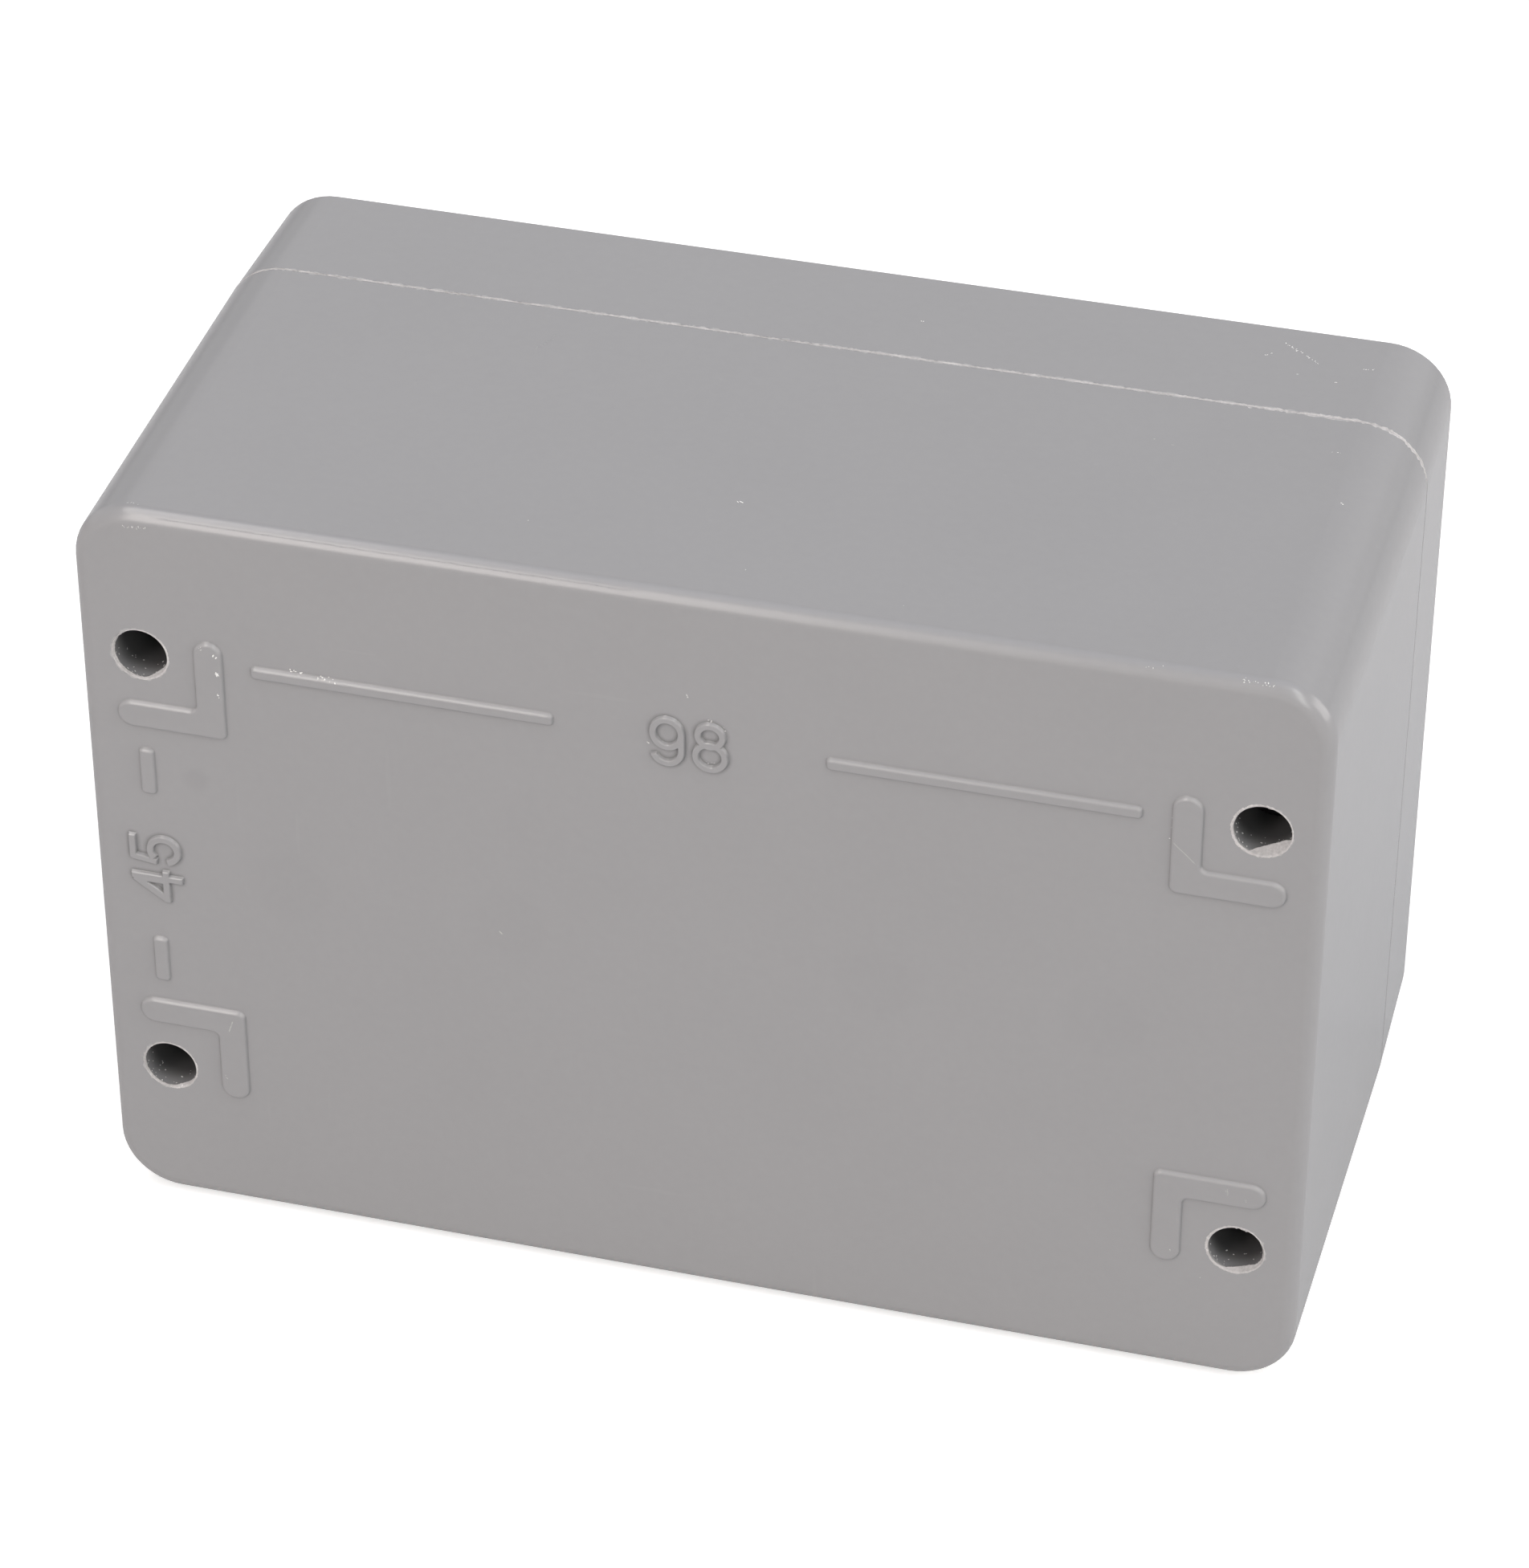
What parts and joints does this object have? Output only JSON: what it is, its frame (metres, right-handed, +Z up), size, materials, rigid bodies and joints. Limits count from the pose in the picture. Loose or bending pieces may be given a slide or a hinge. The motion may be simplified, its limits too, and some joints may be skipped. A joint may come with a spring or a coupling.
{
  "type": "fiberglass enclosure",
  "caption": "Rectangular grey glass-fibre-reinforced polyester enclosure with a deep base, a gasketed lift-off lid, captive lid screws and wall fixing holes in the back.",
  "frame": {"origin": "bottom centre of the bounding box, with the box standing on a long side as pictured", "axes": "+X along the 110 mm length, +Y out of the back wall that goes against the wall, +Z up across the 75 mm width; the lid lifts off along -Y"},
  "size_m": [0.11, 0.0554, 0.075],
  "materials": {
    "grp": "satin grey glass-reinforced polyester with faint fibre mottling",
    "foam": "matte closed-cell foam",
    "stainless": "turned stainless steel",
    "nylon": "natural nylon",
    "brass": "turned brass"
  },
  "bodies": {
    "base": {"base": "grp", "lid_insert_1": "brass", "lid_insert_2": "brass", "lid_insert_3": "brass", "lid_insert_4": "brass", "plate_insert_1": "brass", "plate_insert_2": "brass", "plate_insert_3": "brass", "plate_insert_4": "brass"},
    "lid": {"lid": "grp", "lid_gasket": "foam"},
    "washer_1": {"retaining_washer_1": "nylon"},
    "screw_1": {"lid_screw_1": "stainless"},
    "washer_2": {"retaining_washer_2": "nylon"},
    "screw_2": {"lid_screw_2": "stainless"},
    "washer_3": {"retaining_washer_3": "nylon"},
    "screw_3": {"lid_screw_3": "stainless"},
    "washer_4": {"retaining_washer_4": "nylon"},
    "screw_4": {"lid_screw_4": "stainless"}
  },
  "joints": [
    {"name": "lid_lift_off", "type": "slide", "parent": "base", "child": "lid", "axis": [0, -1, 0], "range_m": [0, 0.06]},
    {"name": "screw_1_travel", "type": "slide", "parent": "lid", "child": "washer_1", "axis": [0, -1, 0], "range_m": [0, 0.0063]},
    {"name": "screw_1_turn", "type": "hinge", "parent": "washer_1", "child": "screw_1", "pos_m": [0.049, -0.01348, 0.069], "axis": [0, -1, 0], "range_deg": [0, 3240]},
    {"name": "screw_2_travel", "type": "slide", "parent": "lid", "child": "washer_2", "axis": [0, -1, 0], "range_m": [0, 0.0063]},
    {"name": "screw_2_turn", "type": "hinge", "parent": "washer_2", "child": "screw_2", "pos_m": [-0.049, -0.01348, 0.069], "axis": [0, -1, 0], "range_deg": [0, 3240]},
    {"name": "screw_3_travel", "type": "slide", "parent": "lid", "child": "washer_3", "axis": [0, -1, 0], "range_m": [0, 0.0063]},
    {"name": "screw_3_turn", "type": "hinge", "parent": "washer_3", "child": "screw_3", "pos_m": [-0.049, -0.01348, 0.006], "axis": [0, -1, 0], "range_deg": [0, 3240]},
    {"name": "screw_4_travel", "type": "slide", "parent": "lid", "child": "washer_4", "axis": [0, -1, 0], "range_m": [0, 0.0063]},
    {"name": "screw_4_turn", "type": "hinge", "parent": "washer_4", "child": "screw_4", "pos_m": [0.049, -0.01348, 0.006], "axis": [0, -1, 0], "range_deg": [0, 3240]}
  ],
  "couplings": [
    {"joint": "screw_1_turn", "follows": "screw_1_travel", "rad_per_m": 8975.9},
    {"joint": "screw_2_turn", "follows": "screw_2_travel", "rad_per_m": 8975.9},
    {"joint": "screw_3_turn", "follows": "screw_3_travel", "rad_per_m": 8975.9},
    {"joint": "screw_4_turn", "follows": "screw_4_travel", "rad_per_m": 8975.9}
  ]
}
